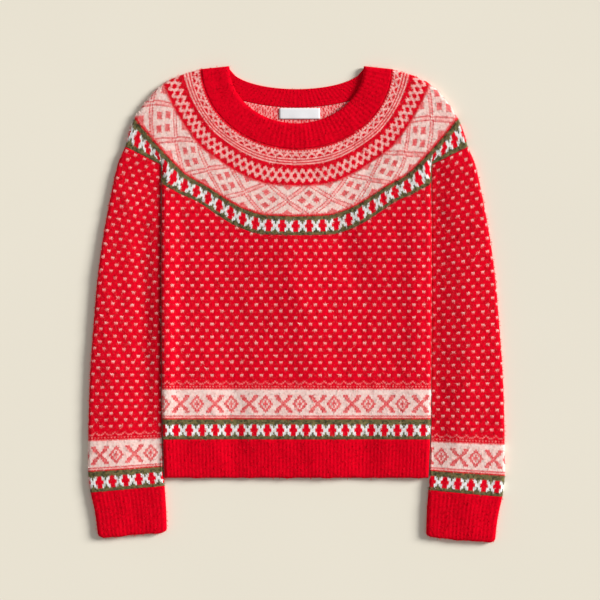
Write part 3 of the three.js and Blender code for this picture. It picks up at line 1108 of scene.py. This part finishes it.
def middle_span(rows):
    """Heights in plan of the middle of a sleeve's or cuff's two ends."""
    return [float(lerp(rows["outer_y"][k], rows["inner_y"][k], 0.5)) for k in (0, -1)]


def tube_lining(way):
    """A ring of points on a tube's inner face."""
    s = way.coarsely(UNDER_STEPS)
    return np.concatenate([way.upper(s)[1], way.lower(returning(s))[1]])


def sleeve(side):
    low, high = middle_span(SLEEVE)
    count = round((high - low) / ROW)
    trims = [SEAM_GAP / 2, *[0] * (count - 1), -YOKE_END_TRIM]
    places = np.linspace(low, high, count + 1)
    ways = [arm_way(SLEEVE, side, at, trim) for at, trim in zip(places, trims)]
    widest = max(way.round_length for way in ways)
    steps = np.arange(int(widest / STITCH * 2) + 1) * STITCH / 2
    grid = np.array([way.upper(np.minimum(steps, way.round_length), crown=CROWN)[0] for way in ways])
    grid = knitted(grid, SEEDS["sleeve"], plain_rows=[0, -1])
    shell = Shell()
    outer, inner = [], []
    for k, way in enumerate(ways):
        keep = int(np.searchsorted(steps, way.round_length - STITCH * SLIVER))
        end = way.upper([way.round_length], crown=CROWN)[0]
        under = way.lower(returning(way.coarsely(UNDER_STEPS)))[0]
        last = way.round_length / STITCH
        u = [*steps[:keep] / STITCH, last, *[last] * len(under)]
        outer.append(shell.chain([*grid[k, :keep], *end, *under], u, k))
    for k in np.linspace(0, count, LINING_ROWS["sleeve"]).round().astype(int):
        inner.append(shell.chain(tube_lining(ways[k]), 0, INSIDE))
    shell.tube(outer, inner, tail=len(under))
    finish_piece(
        shell,
        f"sleeve_{side['name']}",
        "patterned_knit",
        yarn_at(side["patterns"], len(LICE)),
        fuzz=FUZZ["sleeve"],
    )


def cuff(side):
    low, high = middle_span(CUFF)
    rows = RIB_ROWS["cuff"]
    ribs = round((CUFF["outer_x"][1] - CUFF["inner_x"][1]) / RIB_PITCH)
    shell = Shell()
    outer, inner, lengths = [], [], []
    for k, at in enumerate(np.linspace(low, high, rows + 1)):
        free = at - low
        corner = CORNER - math.sqrt(CORNER**2 - max(0, CORNER - free) ** 2)
        way = arm_way(CUFF, side, at, -SEAM_GAP / 2 if k == rows else 0, corner)
        s = way.evenly(ribs * RIB_STEPS)
        top = ribbed(way.upper(s, crown=CROWN)[0], way, s, ribs, high - at, free)
        under = way.lower(returning(way.coarsely(UNDER_STEPS)))[0]
        points = np.concatenate([top, under])
        wave_edge(points, free)
        u = np.concatenate([s / way.round_length * ribs * 2, np.zeros(len(under))])
        outer.append(shell.chain(points, u, k))
        lengths.append(2 * way.round_length)
        if k % LINING_EVERY["cuff"] == 0:
            lining = tube_lining(way)
            wave_edge(lining, free)
            inner.append(shell.chain(lining, 0, INSIDE))
    shell.tube(outer, inner)
    finish_piece(
        shell,
        f"cuff_{side['name']}",
        "rib_knit",
        one_yarn("D"),
        fuzz=FUZZ["cuff"],
    )


# Neck label, bare, sewn down at its two ends
def label():
    shell = Shell()
    outer, inner = [], []
    across = np.arange(LABEL["columns"] + 1) / LABEL["columns"] - 0.5
    x = LABEL["x"] + LABEL["width"] * across
    wave = LABEL_ARCH["wave"] * np.sin(x * LABEL_ARCH["turn"] + 1)
    held = 1 - (2 * across) ** LABEL_ARCH["power"]
    for t in np.linspace(0, 1, LABEL["rows"] + 1):
        y = np.full_like(x, LABEL["top"] - LABEL["height"] * (1 - t))
        under = WALL + SEAM_GAP + (LABEL_ARCH["rise"] + wave * (1 - t)) * held
        for chains, height in ((outer, LABEL["thickness"]), (inner, 0)):
            points = np.column_stack([x, y, under + height])
            chains.append(shell.chain(points, x, t * LABEL["rows"]))
    shell.slab(outer, inner)
    finish_piece(
        shell,
        "label",
        "woven_label",
        one_yarn("N"),
    )


neckband()
yoke()
body_front()
flat_panel("body_back", "patterned_knit", RIB_TOP + SEAM_GAP / 2, yoke_seam_height, rows=8)
hem_front()
flat_panel("hem_back", "rib_knit", HEM_EDGE, lambda x: np.full_like(x, HEM_TOP), rows=3)
label()
for arm in SIDES:
    sleeve(arm)
    cuff(arm)

# Floor, light and camera
FLOOR_REACH = 3  # metres
PIXEL = 1.25  # millimetres of the floor to one pixel of the picture
PICTURE = 600
PICTURE_ORIGIN = (296.5, 304.5)  # where the frame's origin lies in the picture
CAMERA_HEIGHT = 2.2  # metres
SENSOR = 36
FLOOR_COLOUR = (232, 226, 211)
KEY = {"elevation": 24, "azimuth": 22, "strength": 5, "softness": 20, "colour": (1, 0.99, 0.97)}
AMBIENT = {"strength": 0.36, "colour": (1, 0.995, 0.985, 1)}


def studio_floor():
    r = FLOOR_REACH
    mesh = bpy.data.meshes.new("floor")
    mesh.from_pydata([(-r, -r, 0), (r, -r, 0), (r, r, 0), (-r, r, 0)], [], [(0, 1, 2, 3)])
    material, tree, shader = new_material("pale_floor", roughness=0.9, specular=0.1)
    mottle = noise(tree, scale=3, detail=2)
    colour = toned(tree, tuple(linear(FLOOR_COLOUR)), mottle, low=0.99, high=1.01)
    tree.links.new(colour, shader.inputs["Base Color"])
    mesh.materials.append(material)
    place_in_scene("floor", mesh)


def key_light():
    data = bpy.data.lights.new("key", "SUN")
    data.energy = KEY["strength"]
    data.angle = math.radians(KEY["softness"])
    data.color = KEY["colour"]
    lamp = place_in_scene("key", data)
    lamp.rotation_euler = (0, math.radians(90 - KEY["elevation"]), math.radians(KEY["azimuth"]))


def ambient_light():
    world = bpy.data.worlds.new("studio")
    world.use_nodes = True
    background = world.node_tree.nodes["Background"]
    background.inputs["Color"].default_value = AMBIENT["colour"]
    background.inputs["Strength"].default_value = AMBIENT["strength"]
    bpy.context.scene.world = world


def camera():
    data = bpy.data.cameras.new("camera")
    data.sensor_width = SENSOR
    data.lens = data.sensor_width * CAMERA_HEIGHT / (PICTURE * PIXEL * MM)
    made = place_in_scene("camera", data)
    made.location = (
        (PICTURE / 2 - PICTURE_ORIGIN[0]) * PIXEL * MM,
        (PICTURE_ORIGIN[1] - PICTURE / 2) * PIXEL * MM,
        CAMERA_HEIGHT,
    )
    bpy.context.scene.camera = made


studio_floor()
key_light()
ambient_light()
camera()
bpy.context.scene.view_settings.view_transform = "Standard"
